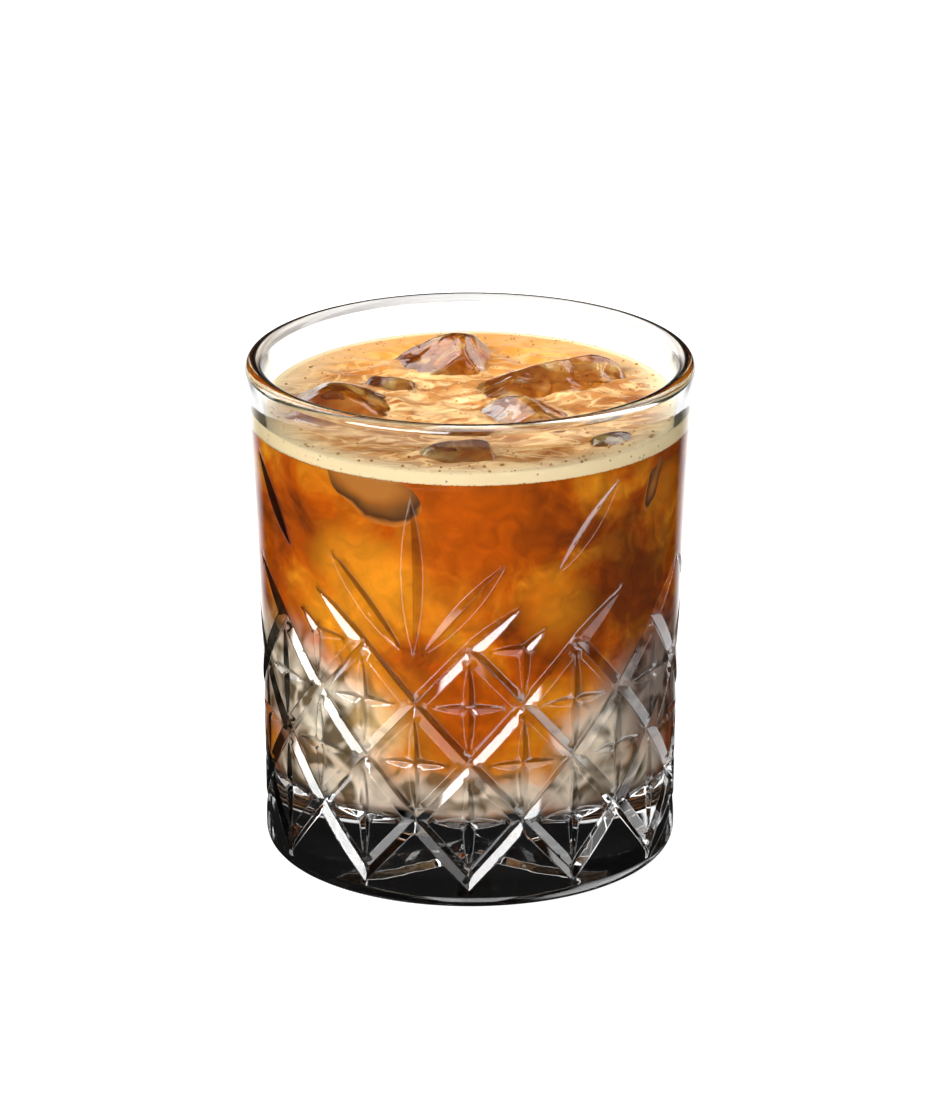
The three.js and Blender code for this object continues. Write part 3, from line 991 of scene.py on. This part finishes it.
def pressed_glass():
    """Soda lime glass, pressed in a mould and fire polished: clear and faintly waved, with painted shade at
    its turns.

    The cuts carry painted shade by the way that they face, painted dark lines in their valleys and painted
    light lines on their ridges. Painted shade darkens the foot, and the right-turned flanks facing the
    front left are painted near black. The lip has a painted dark line on its top and painted light, a milky
    tone, on its inside."""
    material, add = new_material("Pressed soda lime glass")
    place = add("TexCoord").outputs["Object"]
    z = add("SeparateXYZ", (place,)).outputs["Z"]
    normal = add("NewGeometry").outputs["Normal"]
    waves = add("TexNoise", {"Vector": place, "Scale": pattern_scale(9), "Detail": 1.0})
    bump = add("Bump", {"Height": waves, "Strength": 0.04, "Distance": 0.5 * MM})
    turned_away = add("LayerWeight", {"Blend": 0.5}).outputs["Facing"]
    # Painted shade: the glass is painted grey where it turns away, and the lip near black, for the dark
    # room that these turns mirror.
    wall = add("ValToRGB", (turned_away,), stops=(
        (0.15, srgb("fdfefe")), (0.95, srgb("9a9b9c")), (0.75, srgb("d8d9d9"))))
    lip = add("ValToRGB", (turned_away,), stops=((0.7, srgb("fdfefe")), (0.79, srgb("0e0f10"))))
    high = add("MapRange", (z, 93 * MM, 95.5 * MM), interpolation_type=SOFT_STEP)
    tone = add("Mix", (high, wall, lip), data_type="RGBA")
    # Painted light and shade: a facet is painted lighter when it faces up and to the right, darker when it
    # faces down and to the left.
    around = add("VectorMath", (UP, place), operation="CROSS_PRODUCT")
    right = add("VectorMath", (around,), operation="NORMALIZE")
    way = add("VectorMath", (right, (0.5, 0.5, 0.0), (0.0, 0.0, 0.85)), operation="MULTIPLY_ADD")
    lean = add("VectorMath", (normal, way), operation="DOT_PRODUCT")
    flank = add("MapRange", (lean, -0.34, -0.04, 0.25, 1.0))
    # Painted shade: a dark line down the valley of each cut.
    valley = add("Attribute", attribute_name="valley").outputs["Fac"]
    line = add("MapRange", (valley, 0.15, 1.0, 1.0, 0.25))
    flank_and_crease_shade = add("Math", (flank, line), operation="MULTIPLY")
    # Painted shade: the solid base under the well is painted darker, down to an eighth at its bottom.
    base = add("MapRange", (z, 6 * MM, 15 * MM, 0.12, 1.0))
    # Painted shade: steep right-turned flanks facing the front left are painted near black.
    averted = add("VectorMath", (normal, DARK_WAY), operation="DOT_PRODUCT")
    turned = add("MapRange", (averted, 0.88, 0.91))
    sideways = add("VectorMath", (normal, right), operation="DOT_PRODUCT")
    steep = add("MapRange", (sideways, 0.1, 0.2))
    painted_black_flank = add("Math", (turned, steep), operation="MULTIPLY")
    dark = add("MapRange", (painted_black_flank, 0.0, 1.0, 1.0, 0.004))
    low = add("Math", (dark, base), operation="MULTIPLY")
    shade = add("Math", (flank_and_crease_shade, low), operation="MULTIPLY")
    # Painted shade: a dark line along the top of the lip, where it would mirror the dim room above.
    outward = add("VectorMath", (right, UP), operation="CROSS_PRODUCT")
    outer = add("VectorMath", (normal, outward), operation="DOT_PRODUCT")
    off_top = add("Math", (outer,), operation="ABSOLUTE")
    ring = add("MapRange", (off_top, 0.17, 0.29, 0.01, 1.0))
    painted_lip_line = add("MapRange", (z, 97.0 * MM, 97.3 * MM, 1.0, ring))
    all_painted_shade = add("Math", (shade, painted_lip_line), operation="MULTIPLY")
    tint_with_painted_shade = add("VectorMath", (tone, all_painted_shade), operation="SCALE")
    # Painted light: the ridges between cuts let less light through, so their base colour shows as fine
    # light lines.
    ridge = add("Attribute", attribute_name="ridge").outputs["Fac"]
    clear = add("MapRange", (ridge, 0.2, 1.0, 1.0, 0.9))
    # Painted light: the top of the lip's inside is made milky, less see-through, so that it reads light.
    painted_lip_light = add("MapRange", (outer, 0.2, -0.3, 0.0, 0.4))
    crown_painted_light = add("MapRange", (z, 95.4 * MM, 96.6 * MM, 0.0, painted_lip_light))
    through = add("Math", (clear, crown_painted_light), operation="SUBTRACT")
    shader = add("BsdfPrincipled", {
        "Base Color": tint_with_painted_shade, "Roughness": 0.0, "IOR": 1.52, "Transmission Weight": through, "Normal": bump})
    return surfaced(material, shader)


# Clouds in the coffee: angle from the front in degrees, height and reach in millimetres, colour, strength.
# Those of the front come again at the back. Each lies at a radius near the wall, and its edge is frayed.
CLOUDS = (
    (-34, 66, 11, "gold", 0.8),
    (-20, 66, 8, "gold", 0.75),
    (-14, 76, 4, "gold", 0.8),
    (-40, 54, 8, "gold", 0.7),
    (-4, 57, 8, "gold", 0.3),
    (2, 75, 16, "coffee", 0.95),
    (22, 76, 9, "dark", 0.35),
    (26, 60, 8, "gold", 0.5),
    (44, 70, 11, "dark", 0.7),
    (54, 60, 13, "dark", 0.8),
    (66, 78, 6, "gold", 0.55),
    (0, 36, 12, "coffee", 0.85),
    (-34, 36, 17, "gold", 0.7),
    (36, 34, 14, "gold", 0.6),
    *((degrees, 23, 10, "gold", 0.45) for degrees in range(-24, 25, 16)),
    (-78, 40, 14, "pale", 0.8),
    (-58, 38, 15, "pale", 0.9),
    (-40, 34, 13, "pale", 0.95),
    (-27, 36, 6, "cream", 0.6),
    (74, 38, 16, "plum", 0.9),
    (55, 36, 14, "plum", 0.9),
    (39, 31, 10, "pale", 0.85),
    *((degrees, 19, 7, "plum", 0.7) for degrees in range(-66, 67, 12)),
    *((degrees, 22, 6, "pale", 0.65) for degrees in range(-64, 65, 16)),
)
CLOUD_RADIUS = 36
CLOUD_FRAY = 8
CLOUD_CORE = 0.4
FRAY_INSIDE = 0.5
FRAY_OUTSIDE = 0.75


def milky_coffee(colours):
    """Coffee with milk that hasn't mixed: soft clouds of cream and dark brown under a still surface.

    It is painted darker at its foot as painted shade, and lighter in the ice pockets as painted light.
    """
    material, add = new_material("Milky iced coffee")
    place = add("TexCoord").outputs["Object"]
    x, y, z = add("SeparateXYZ", (place,)).outputs
    drift = add("TexNoise", {
        "Vector": place, "Scale": pattern_scale(16), "Detail": 4.0, "Roughness": 0.55, "Distortion": 0.7})
    fine = add("TexNoise", {"Vector": place, "Scale": pattern_scale(5), "Detail": 4.0, "Distortion": 1.0})
    mottle = add("TexNoise", {"Vector": place, "Scale": pattern_scale(5), "Detail": 0.6, "Distortion": 0.8})
    colour = add("ValToRGB", (drift,), stops=(
        (0.3, colours.dark), (0.68, colours.gold), (0.47, colours.coffee)))
    side = add("Math", (y,), operation="SIGN")
    near = add("Math", (side, -1.0), operation="MULTIPLY")
    turned = add("CombineXYZ", (near, near, 1.0))
    front = add("VectorMath", (place, turned), operation="MULTIPLY")
    paints = {name: opaque(getattr(colours, name)) for name in ("coffee", "dark", "gold", "cream")}
    paints["pale"] = add("ValToRGB", (mottle,), stops=((0.36, colours.smoke), (0.6, colours.pale)))
    paints["plum"] = add("ValToRGB", (mottle,), stops=((0.36, colours.umber), (0.6, colours.plum)))
    for degrees, height, reach, name, strength in CLOUDS:
        centre = tuple(round_point(CLOUD_RADIUS, math.radians(degrees), height) * MM)
        far = add("VectorMath", (front, centre), operation="DISTANCE")
        frayed = add("Math", (fine, CLOUD_FRAY * MM, far), operation="MULTIPLY_ADD")
        outside = (reach + FRAY_OUTSIDE * CLOUD_FRAY) * MM
        inside = (CLOUD_CORE * reach + FRAY_INSIDE * CLOUD_FRAY) * MM
        cover = add("MapRange", (frayed, outside, inside, 0.0, strength), interpolation_type=SOFT_STEP)
        colour = add("Mix", (cover, colour, paints[name]), data_type="RGBA")
    flat = add("CombineXYZ", (x, y))
    reach = add("VectorMath", (flat,), operation="LENGTH")
    # Painted light: the coffee walls of the ice pockets, seen only through the ice, are painted lighter.
    inside = add("MapRange", (reach, 37.6 * MM, 36.6 * MM, 0.0, 1.0))
    upper = add("MapRange", (z, 74 * MM, 76 * MM, 0.0, 1.0))
    in_ice_pockets = add("Math", (inside, upper), operation="MULTIPLY")
    lightened = add("Mix", (in_ice_pockets, colour, opaque(colours.pocket)), data_type="RGBA")
    streak = add("MapRange", (fine, 0.34, 0.66, 0.7, 1.03))
    # Painted shade: the coffee is painted darker at its foot, in the well's corner.
    foot = add("MapRange", (z, 16.4 * MM, 18.5 * MM, 0.1, 1.0))
    tone = add("Math", (streak, foot), operation="MULTIPLY")
    streaked = add("VectorMath", (lightened, tone), operation="SCALE")
    shader = add("BsdfPrincipled", {
        "Base Color": streaked, "Roughness": 0.35, "IOR": 1.33, "Specular IOR Level": 0.1})
    return surfaced(material, shader)


def coffee_foam(colours):
    """Foam of milky coffee: wet and fine grained, drawn into pale and brown streaks, with pinholes."""
    material, add = new_material("Milk foam on coffee")
    place = add("TexCoord").outputs["Object"]
    x, y, _ = add("SeparateXYZ", (place,)).outputs
    stretch = add("Mapping", {"Vector": place, "Scale": (0.6, 1.2, 1.0)})
    patches = add("TexNoise", {
        "Vector": stretch, "Scale": pattern_scale(11), "Detail": 3.0, "Roughness": 0.5, "Distortion": 1.4})
    colour = add("ValToRGB", (patches,), stops=(
        (0.36, colours.foam_dark), (0.72, colours.foam_light), (0.5, colours.foam)))
    swirls = add("TexNoise", {
        "Vector": stretch, "Scale": pattern_scale(9), "Detail": 2.0, "Distortion": 1.6})
    off = add("Math", (swirls, 0.5), operation="SUBTRACT")
    fold = add("Math", (off,), operation="ABSOLUTE")
    flat = add("CombineXYZ", (x, y))
    reach = add("VectorMath", (flat,), operation="LENGTH")
    vein = add("MapRange", (fold, 0.0, 0.06, 0.8, 0.0))
    shore = add("MapRange", (reach, 32 * MM, 38.5 * MM, 0.0, 0.65), interpolation_type=SOFT_STEP)
    rear = add("MapRange", (y, 8 * MM, 34 * MM, 0.0, 0.85))
    rim = add("MapRange", (reach, 37.6 * MM, 39 * MM, 0.0, 0.95), interpolation_type=SOFT_STEP)
    layers = ((vein, "foam_light"), (shore, "foam_wall"), (rear, "foam_gold"), (rim, "foam_wall"))
    for cover, name in layers:
        colour = add("Mix", (cover, colour, opaque(getattr(colours, name))), data_type="RGBA")
    holes = add("TexVoronoi", {"Vector": place, "Scale": pattern_scale(1.7)})
    hole = add("MapRange", (holes, 0.08, 0.17, 0.4, 1.0))
    pricked = add("VectorMath", (colour, hole), operation="SCALE")
    grain = add("TexNoise", {"Vector": place, "Scale": pattern_scale(0.7), "Detail": 2.0})
    bump = add("Bump", {"Height": grain, "Strength": 0.25, "Distance": 0.15 * MM})
    shader = add("BsdfPrincipled", {
        "Base Color": pricked, "Roughness": 0.38, "IOR": 1.33, "Normal": bump, "Subsurface Weight": 0.08,
        "Subsurface Radius": (2 * MM, 1.2 * MM, 0.6 * MM), "Subsurface Scale": 1.0})
    return surfaced(material, shader)


def wet_ice():
    """Melting ice: clear, stained by the coffee under it, with soft ripples and a shining film of water.

    Its milky streaks stand partly for cloudy ice and partly for painted highlights.
    """
    material, add = new_material("Wet melting ice")
    place = add("TexCoord").outputs["Object"]
    ripples = add("TexNoise", {
        "Vector": place, "Scale": pattern_scale(4.5), "Detail": 2.0, "Distortion": 0.8})
    bump = add("Bump", {"Height": ripples, "Strength": 0.35, "Distance": 0.5 * MM})
    film = add("ValToRGB", (ripples,), stops=((0.36, srgb("ba8436")), (0.6, srgb("f4dc8c"))))
    # Partly painted highlight: streaks where the ice lets less light through show the cream film as light
    # glints; the rest is cloudy ice.
    drawn = add("Mapping", {"Vector": place, "Scale": (0.4, 1.0, 1.0)})
    veil = add("TexNoise", {"Vector": drawn, "Scale": pattern_scale(5), "Detail": 1.0, "Distortion": 0.6})
    clear = add("MapRange", (veil, 0.5, 0.72, 1.0, 0.66))
    shader = add("BsdfPrincipled", {
        "Base Color": film, "Roughness": 0.03, "IOR": 1.31, "Transmission Weight": clear, "Normal": bump,
        "Coat Weight": 0.8, "Coat Roughness": 0.02, "Coat IOR": 1.5, "Coat Normal": bump})
    return surfaced(material, shader)


def clouded_ice():
    """Ice under the coffee's surface, seen through the wall: brown, with a dark edge rimmed by milk.

    Its upper part is painted lighter, as painted light.
    """
    material, add = new_material("Sunk clouded ice")
    place = add("TexCoord").outputs["Object"]
    veil = add("TexNoise", {"Vector": place, "Scale": pattern_scale(5), "Detail": 3.0, "Distortion": 0.8})
    inset_and_light = add("Attribute", attribute_name="inset_and_light").outputs["Fac"]
    wavy = add("Math", (veil, 0.25, inset_and_light), operation="MULTIPLY_ADD")
    shade = add("ValToRGB", (wavy,), stops=(
        (0.1, srgb("c07018")), (1.0, srgb("ac6c28")), (0.19, srgb("a8621e")), (0.3, srgb("4a2a0c")),
        (0.48, srgb("6e4418")), (0.8, srgb("a2601e"))))
    shader = add("BsdfPrincipled", {"Base Color": shade, "Roughness": 0.3, "Specular IOR Level": 0.2})
    return surfaced(material, shader)


def bubble_skin():
    """Bubbles of coffee film: small, wet and darker than the foam that they sit in."""
    material, add = new_material("Coffee bubble film")
    place = add("TexCoord").outputs["Object"]
    mottle = add("TexNoise", {"Vector": place, "Scale": pattern_scale(4)})
    shade = add("ValToRGB", (mottle,), stops=((0.0, srgb("6e4016")), (1.0, srgb("d8a562"))))
    shader = add("BsdfPrincipled", {"Base Color": shade, "Roughness": 0.08, "IOR": 1.33})
    return surfaced(material, shader)


# Part 4: operators.
class DRINK_OT_tumbler(bpy.types.Operator):
    """Make the cut-glass tumbler"""
    bl_idname = "drink.tumbler"
    bl_label = "Tumbler"

    def execute(self, context):
        size, cut, _ = all_sizes(context.scene)
        places, normals, faces = welded(tumbler_sheets(size, cut))
        piece = mesh_piece("tumbler", places, faces, normals)
        for name, marks in crease_marks(places, wall_cuts(cut)).items():
            mark(piece, name, marks)
        dress(piece, pressed_glass(), "glass")
        return {"FINISHED"}


class DRINK_OT_coffee(bpy.types.Operator):
    """Make the coffee up to its level, with pockets for the ice"""
    bl_idname = "drink.coffee"
    bl_label = "Coffee"

    def execute(self, context):
        size, _, drink = all_sizes(context.scene)
        material = milky_coffee(context.scene.drink_colours)
        drink_piece("milky_coffee", coffee_sheet(size, drink), material, "coffee")
        return {"FINISHED"}


class DRINK_OT_foam(bpy.types.Operator):
    """Make the foam layer, with pockets for the ice"""
    bl_idname = "drink.foam"
    bl_label = "Foam"

    def execute(self, context):
        size, _, drink = all_sizes(context.scene)
        material = coffee_foam(context.scene.drink_colours)
        drink_piece("coffee_foam", foam_sheet(size, drink), material, "foam")
        return {"FINISHED"}


class DRINK_OT_ice(bpy.types.Operator):
    """Make the ice that shows, and the sunk ice that touches the wall"""
    bl_idname = "drink.ice"
    bl_label = "Ice"

    def execute(self, context):
        material = wet_ice()
        for name, block in ICE.items():
            dress(mesh_piece("melting_" + name, *ice_block(block, 0)), material, name)
        size, _, drink = all_sizes(context.scene)
        places, _, faces = welded(sunk_ice_sheets(size, drink))
        piece = mesh_piece("sunk_ice", places, faces)
        mark(piece, "inset_and_light", sunk_ice_inset(size, drink, places))
        dress(piece, clouded_ice())
        return {"FINISHED"}


class DRINK_OT_bubbles(bpy.types.Operator):
    """Scatter the bubbles on the foam"""
    bl_idname = "drink.bubbles"
    bl_label = "Bubbles"

    def execute(self, context):
        size, _, drink = all_sizes(context.scene)
        places, _, faces = welded(bubble_sheets(size, drink))
        dress(mesh_piece("foam_bubbles", places, faces), bubble_skin())
        return {"FINISHED"}


CAMERA_PLACE = (0.0, -1.2, 0.48096)
CAMERA_PITCH = 19.47
CAMERA_YAW = 0.056
CAMERA_LENS = 212.6
CAMERA_SENSOR = 36
CAMERA_REACH = 50

# The stage's sheets, in millimetres: the floor in two rings, the wall round it, and cards round the back.
FLOOR_Z = -0.05
NEAR_RADIUS = 280
FLOOR_RADIUS = 4000
MIRROR_RADIUS = 60
RIM_CARD = ((75, 88), (75, 150))
STAGE_SIDES = 72
FULL_TURN = 2 * math.pi * np.arange(STAGE_SIDES) / STAGE_SIDES
BACK_TURN = np.radians(np.linspace(180 - 58, 180 + 58, STAGE_SIDES))
RAYS = ("camera", "diffuse", "glossy", "transmission", "shadow")


def stage_sheet(edges, turns):
    """Places and faces of a sheet between two edges of a radius and a height, at turns from the front."""
    places = [(radius * math.sin(a), -radius * math.cos(a), z) for radius, z in edges for a in turns]
    count = len(turns)
    faces = []
    for k in range(count if turns is FULL_TURN else count - 1):
        after = (k + 1) % count
        face = (k, k + count, after + count, after)
        faces.append(face if edges[0][0] > 0 else face[:3])
    return places, faces


def pale_floor():
    """Opal acrylic sheet, lit from below: white and even, so that nothing throws a hard shadow on it."""
    material, add = new_material("Opal acrylic light table")
    place = add("TexCoord").outputs["Object"]
    mottle = add("TexNoise", {"Vector": place, "Scale": pattern_scale(400)})
    shade = add("ValToRGB", (mottle,), stops=((0.0, srgb("a4a4a4")), (1.0, srgb("a8a8a8"))))
    shader = add("BsdfPrincipled", {
        "Base Color": shade, "Roughness": 0.9, "Specular IOR Level": 0.0,
        "Emission Color": opaque(srgb("ffffff")), "Emission Strength": 0.9})
    return surfaced(material, shader)


def back_glow(name, low, high, strength):
    """White card that is bright towards the back alone, where its way from the middle passes two shares."""
    material, add = new_material(name)
    place = add("TexCoord").outputs["Object"]
    x, y, _ = add("SeparateXYZ", (place,)).outputs
    flat = add("CombineXYZ", (x, y))
    way = add("VectorMath", (flat,), operation="NORMALIZE")
    back = add("SeparateXYZ", (way,)).outputs["Y"]
    glow = add("MapRange", (back, low, high, 0.0, strength), interpolation_type=SOFT_STEP)
    return surfaced(material, add("Emission", {"Strength": glow}))


# Soft lights round the drink: direction from the front, height, half width and half height in degrees, the
# width of the soft edge and the brightness. The last two are the bright table, as the cuts mirror it.
SOFT_LIGHTS = (
    (-38, 20, 25, 9, 4, 20.0),
    (36, 21, 18, 8, 5, 2.6),
    (0, 46, 34, 7, 5, 2.0),
    (-122, 25, 5, 28, 4, 5.0),
    (100, 25, 5, 28, 4, 5.0),
    (-128, 46, 22, 16, 5, 2.8),
    (128, 46, 22, 16, 5, 2.8),
    (0, -57, 25, 12, 8, 5.0),
    (100, -50, 25, 14, 10, 3.5),
)
TOP_LIGHT = 0.22
TOP_FROM = 42
TOP_FULL = 70
DIM_WALLS = 0.02


def studio_world(scene):
    """Dim surroundings with a key light at the front left, weak lights, side strips and a top light."""
    world = bpy.data.worlds.new("Studio")
    world.use_nodes = True
    world.node_tree.nodes.clear()
    add = partial(add_node, world.node_tree)
    way = add("TexCoord").outputs["Generated"]
    z = add("SeparateXYZ", (way,)).outputs["Z"]
    rise = add("Math", (z,), operation="ARCSINE")
    ends = (math.radians(TOP_FROM), math.radians(TOP_FULL))
    glow = add("MapRange", (rise, *ends, DIM_WALLS, TOP_LIGHT), interpolation_type=SOFT_STEP)
    for direction, height, half_width, half_height, soft, strength in SOFT_LIGHTS:
        turn = math.radians(direction)
        aside = add("VectorMath", (way, (math.cos(turn), math.sin(turn), 0)), operation="DOT_PRODUCT")
        ahead = add("VectorMath", (way, (math.sin(turn), -math.cos(turn), 0)), operation="DOT_PRODUCT")
        off_side = add("Math", (aside, ahead), operation="ARCTAN2")
        off_height = add("Math", (rise, math.radians(height)), operation="SUBTRACT")
        window = strength
        for off, half in ((off_side, half_width), (off_height, half_height)):
            far = add("Math", (off,), operation="ABSOLUTE")
            ends = (math.radians(half + soft), math.radians(half))
            window = add("MapRange", (far, *ends, 0.0, window), interpolation_type=SOFT_STEP)
        glow = add("Math", (glow, window), operation="ADD")
    light = add("Background", {"Color": opaque(srgb("ffffff")), "Strength": glow})
    add("OutputWorld", {"Surface": light})
    scene.world = world


class DRINK_OT_stage(bpy.types.Operator):
    """Set the floor, the light and the camera"""
    bl_idname = "drink.stage"
    bl_label = "Stage"

    def execute(self, context):
        scene = context.scene
        opal = pale_floor()
        low = back_glow("Opal acrylic seen in the wall", 0.66, 0.96, 2.2)
        card = back_glow("White card behind the rim", 0.5, 0.6, 1.0)
        near, far = (NEAR_RADIUS, FLOOR_Z), (FLOOR_RADIUS, FLOOR_Z)
        sheets = (
            ("near_floor", opal, ((0, FLOOR_Z), near), FULL_TURN, "camera diffuse shadow"),
            ("far_floor", opal, (near, far), FULL_TURN, "camera diffuse transmission shadow"),
            ("backdrop", opal, (far, (FLOOR_RADIUS, FLOOR_RADIUS)), FULL_TURN, "camera"),
            ("mirrored_floor", low, ((MIRROR_RADIUS, FLOOR_Z), far), BACK_TURN, "glossy"),
            ("rim_card", card, RIM_CARD, BACK_TURN, "transmission"),
        )
        for name, material, edges, turns, seen_by in sheets:
            sheet = mesh_piece(name, *stage_sheet(edges, turns))
            sheet.data.materials.append(material)
            for ray in RAYS:
                setattr(sheet, "visible_" + ray, ray in seen_by.split())
            sheet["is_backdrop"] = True
        studio_world(scene)
        camera = bpy.data.objects.new("camera", bpy.data.cameras.new("camera"))
        camera.data.lens = CAMERA_LENS
        camera.data.sensor_width = CAMERA_SENSOR
        camera.data.clip_end = CAMERA_REACH
        camera.location = CAMERA_PLACE
        camera.rotation_euler = (math.radians(90 - CAMERA_PITCH), 0, math.radians(CAMERA_YAW))
        scene.collection.objects.link(camera)
        scene.camera = camera
        scene.view_settings.view_transform = "Standard"
        return {"FINISHED"}


class DRINK_PT_panel(bpy.types.Panel):
    """Sizes, colours and pieces of the drink"""
    bl_idname = "DRINK_PT_panel"
    bl_label = "Iced coffee"
    bl_space_type = "VIEW_3D"
    bl_region_type = "UI"
    bl_category = "Drink"

    def draw(self, context):
        for name in SETTINGS:
            group = getattr(context.scene, name)
            for field in type(group).__annotations__:
                self.layout.prop(group, field)
        for operator in OPERATORS:
            self.layout.operator(operator.bl_idname)


SETTINGS = {
    "tumbler_sizes": TumblerSizes,
    "cut_sizes": CutSizes,
    "drink_sizes": DrinkSizes,
    "drink_colours": DrinkColours,
}
OPERATORS = (
    DRINK_OT_tumbler, DRINK_OT_coffee, DRINK_OT_foam, DRINK_OT_ice, DRINK_OT_bubbles, DRINK_OT_stage)


def register():
    for name, group in SETTINGS.items():
        bpy.utils.register_class(group)
        setattr(bpy.types.Scene, name, bpy.props.PointerProperty(type=group))
    for item in (*OPERATORS, DRINK_PT_panel):
        bpy.utils.register_class(item)


def unregister():
    for item in (DRINK_PT_panel, *reversed(OPERATORS)):
        bpy.utils.unregister_class(item)
    for name, group in SETTINGS.items():
        delattr(bpy.types.Scene, name)
        bpy.utils.unregister_class(group)


def main():
    """Builds every piece in order and works out the size of the solids and of what is shown."""
    register()
    bpy.ops.drink.tumbler()
    bpy.ops.drink.coffee()
    bpy.ops.drink.foam()
    bpy.ops.drink.ice()
    bpy.ops.drink.bubbles()
    bpy.ops.drink.stage()
    boxes = {"cad": CAD_BOX, "visual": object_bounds()}
    {name: [list(corner) for corner in box] for name, box in boxes.items()}


if __name__ == "__main__":
    main()
